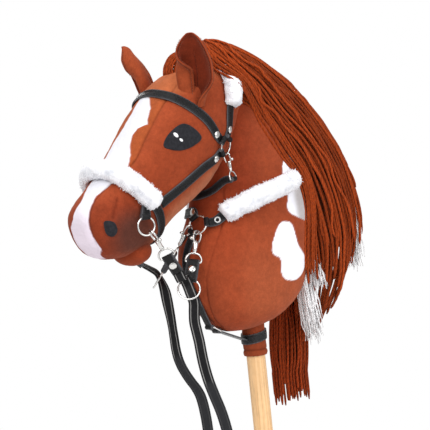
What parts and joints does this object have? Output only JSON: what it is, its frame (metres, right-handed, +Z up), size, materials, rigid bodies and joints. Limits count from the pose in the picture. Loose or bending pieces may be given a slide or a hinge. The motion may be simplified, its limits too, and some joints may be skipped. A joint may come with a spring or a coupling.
{
  "type": "hobby horse",
  "caption": "Stuffed horse head and neck on a wooden stick, with yarn mane, halter, breastplate with running rings, and clip-on reins.",
  "frame": {"origin": "on the stick's axis, where a rider's hand holds the stick below the neck", "axes": "+Z up along the stick to the head; -X is the way the horse faces; -Y is the horse's left side"},
  "size_m": [0.4571, 0.154, 0.9847],
  "materials": {
    "plush": "short chestnut pile with white markings",
    "yarn": "twisted rust yarn with white tufts",
    "fleece": "white teddy fleece",
    "felt": "slate black felt",
    "strap": "black, edge stitched, soft sheen",
    "metal": "bright nickel plate",
    "wood": "plain light wood, satin"
  },
  "bodies": {
    "horse": {"stick": "wood", "sleeve": "plush", "neck": "plush", "head": "plush", "lower_jaw": "plush", "ear_left": "plush", "ear_right": "plush", "eye_left": "felt", "eye_right": "felt", "nostril_left": "felt", "nostril_right": "felt", "mane": "yarn", "mane_hank": "yarn", "forelock": "yarn", "noseband_strap": "strap", "noseband_fleece": "fleece", "bit_tab_left": "strap", "bit_tab_right": "strap", "headpiece_strap": "strap", "headpiece_fleece": "fleece", "browband": "strap", "cheek_strap_left": "strap", "cheek_strap_right": "strap", "cheek_ring_left": "metal", "cheek_ring_right": "metal", "throat_strap": "strap", "throat_left_swivel": "metal", "throat_right_swivel": "metal", "neck_strap": "strap", "neck_fleece_left": "fleece", "neck_fleece_right": "fleece", "chest_ring": "metal", "chest_strap": "strap", "chest_link": "metal", "stick_strap": "strap", "fork_left_swivel": "metal", "fork_right_swivel": "metal", "fork_keeper_left": "strap", "fork_keeper_right": "strap", "rein_left_swivel": "metal", "rein_right_swivel": "metal", "rein_end_left": "strap", "rein_end_right": "strap", "reins": "strap"},
    "left_bit": {"bit_ring_left": "metal"},
    "right_bit": {"bit_ring_right": "metal"},
    "left_running": {"running_ring_left": "metal"},
    "right_running": {"running_ring_right": "metal"},
    "throat_left_snap": {"throat_left_hook": "metal"},
    "throat_left_gate": {"throat_left_lever": "metal"},
    "throat_right_snap": {"throat_right_hook": "metal"},
    "throat_right_gate": {"throat_right_lever": "metal"},
    "fork_left_snap": {"fork_left_hook": "metal"},
    "fork_left_gate": {"fork_left_lever": "metal"},
    "fork_right_snap": {"fork_right_hook": "metal"},
    "fork_right_gate": {"fork_right_lever": "metal"},
    "rein_left_snap": {"rein_left_hook": "metal"},
    "rein_left_gate": {"rein_left_lever": "metal"},
    "rein_right_snap": {"rein_right_hook": "metal"},
    "rein_right_gate": {"rein_right_lever": "metal"}
  },
  "joints": [
    {"name": "bit_left_swing", "type": "hinge", "parent": "horse", "child": "left_bit", "pos_m": [-0.1975, -0.0505, 0.2623], "axis": [0.9838, -0.179, 0], "range_deg": [-3, 5]},
    {"name": "bit_right_swing", "type": "hinge", "parent": "horse", "child": "right_bit", "pos_m": [-0.1975, 0.0505, 0.2623], "axis": [0.9838, 0.179, 0], "range_deg": [-5, 3]},
    {"name": "running_left_swing", "type": "hinge", "parent": "horse", "child": "left_running", "pos_m": [-0.1252, -0.03512, 0.17712], "axis": [0.6776, -0.7094, -0.194], "range_deg": [-6, 2]},
    {"name": "running_right_swing", "type": "hinge", "parent": "horse", "child": "right_running", "pos_m": [-0.11858, 0.02412, 0.18902], "axis": [-0.713, -0.6874, -0.1385], "range_deg": [-10, 10]},
    {"name": "throat_left_turn", "type": "hinge", "parent": "horse", "child": "throat_left_snap", "pos_m": [-0.05873, -0.04988, 0.32771], "axis": [-0.1275, 0.141, 0.9818], "range_deg": [-22, 22]},
    {"name": "throat_left_press", "type": "hinge", "parent": "throat_left_snap", "child": "throat_left_gate", "pos_m": [-0.05685, -0.05329, 0.31703], "axis": [-0.9635, -0.2524, -0.0889], "range_deg": [0, 20], "stiffness_Nm_per_rad": 0.01, "springref_deg": -11.46},
    {"name": "throat_right_turn", "type": "hinge", "parent": "horse", "child": "throat_right_snap", "pos_m": [-0.05872, 0.04987, 0.32772], "axis": [-0.1272, -0.141, 0.9818], "range_deg": [-22, 22]},
    {"name": "throat_right_press", "type": "hinge", "parent": "throat_right_snap", "child": "throat_right_gate", "pos_m": [-0.05775, 0.04962, 0.31639], "axis": [-0.9636, 0.2524, -0.0886], "range_deg": [0, 20], "stiffness_Nm_per_rad": 0.01, "springref_deg": -11.46},
    {"name": "fork_left_turn", "type": "hinge", "parent": "horse", "child": "fork_left_snap", "pos_m": [-0.09509, -0.02117, 0.23126], "axis": [0.4742, 0.2197, 0.8526], "range_deg": [-3, 22]},
    {"name": "fork_left_press", "type": "hinge", "parent": "fork_left_snap", "child": "fork_left_gate", "pos_m": [-0.10356, -0.02394, 0.22096], "axis": [-0.0429, 0.973, -0.2269], "range_deg": [0, 20], "stiffness_Nm_per_rad": 0.01, "springref_deg": -11.46},
    {"name": "fork_right_turn", "type": "hinge", "parent": "horse", "child": "fork_right_snap", "pos_m": [-0.09686, -0.00848, 0.23901], "axis": [0.342, -0.5133, 0.7871], "range_deg": [-12, 22]},
    {"name": "fork_right_press", "type": "hinge", "parent": "fork_right_snap", "child": "fork_right_gate", "pos_m": [-0.1037, -0.00193, 0.22922], "axis": [0.0543, 0.8471, 0.5287], "range_deg": [0, 20], "stiffness_Nm_per_rad": 0.01, "springref_deg": -11.46},
    {"name": "rein_left_turn", "type": "hinge", "parent": "horse", "child": "rein_left_snap", "pos_m": [-0.19106, -0.05167, 0.24179], "axis": [-0.5949, -0.1098, 0.7963], "range_deg": [-22, 22]},
    {"name": "rein_left_press", "type": "hinge", "parent": "rein_left_snap", "child": "rein_left_gate", "pos_m": [-0.18283, -0.05249, 0.23018], "axis": [-0.8021, 0.146, -0.5791], "range_deg": [0, 20], "stiffness_Nm_per_rad": 0.01, "springref_deg": -11.46},
    {"name": "rein_right_turn", "type": "hinge", "parent": "horse", "child": "rein_right_snap", "pos_m": [-0.18969, 0.05192, 0.24296], "axis": [-0.7123, 0.1947, 0.6743], "range_deg": [-22, 22]},
    {"name": "rein_right_press", "type": "hinge", "parent": "rein_right_snap", "child": "rein_right_gate", "pos_m": [-0.17956, 0.05152, 0.23294], "axis": [0.7, 0.1274, 0.7027], "range_deg": [0, 20], "stiffness_Nm_per_rad": 0.01, "springref_deg": -11.46}
  ]
}
